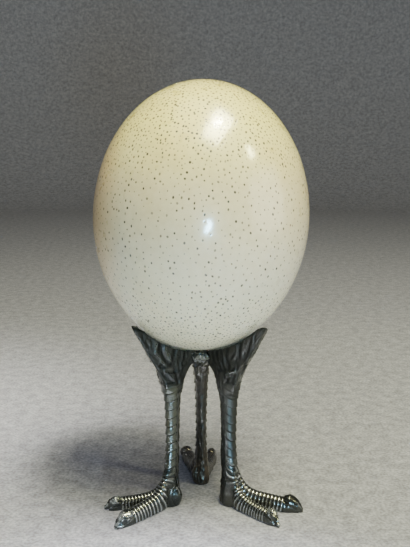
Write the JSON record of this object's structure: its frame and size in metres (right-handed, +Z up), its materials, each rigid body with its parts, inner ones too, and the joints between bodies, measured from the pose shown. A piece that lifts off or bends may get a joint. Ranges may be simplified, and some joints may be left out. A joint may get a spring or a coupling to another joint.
{
  "type": "ostrich egg on a cast stand",
  "caption": "Pored ivory ostrich egg cradled upright on a dark cast stand of ringed, two-toed bird legs with folded brackets.",
  "frame": {"origin": "middle of the object's footprint box, on the surface that the feet stand on, straight under the egg", "axes": "+Z up through the egg's long axis; -Y towards the two front feet; +X to the right of the front"},
  "size_m": [0.1268, 0.128, 0.2562],
  "materials": {
    "eggshell": "polished cream eggshell with fine dark pore pits",
    "dark_metal": "blackened, polished cast metal with worn bright ridges"
  },
  "bodies": {
    "root": {"egg": "eggshell", "leg_front_right": "dark_metal", "leg_rear": "dark_metal", "leg_front_left": "dark_metal", "hub": "dark_metal"}
  },
  "joints": []
}
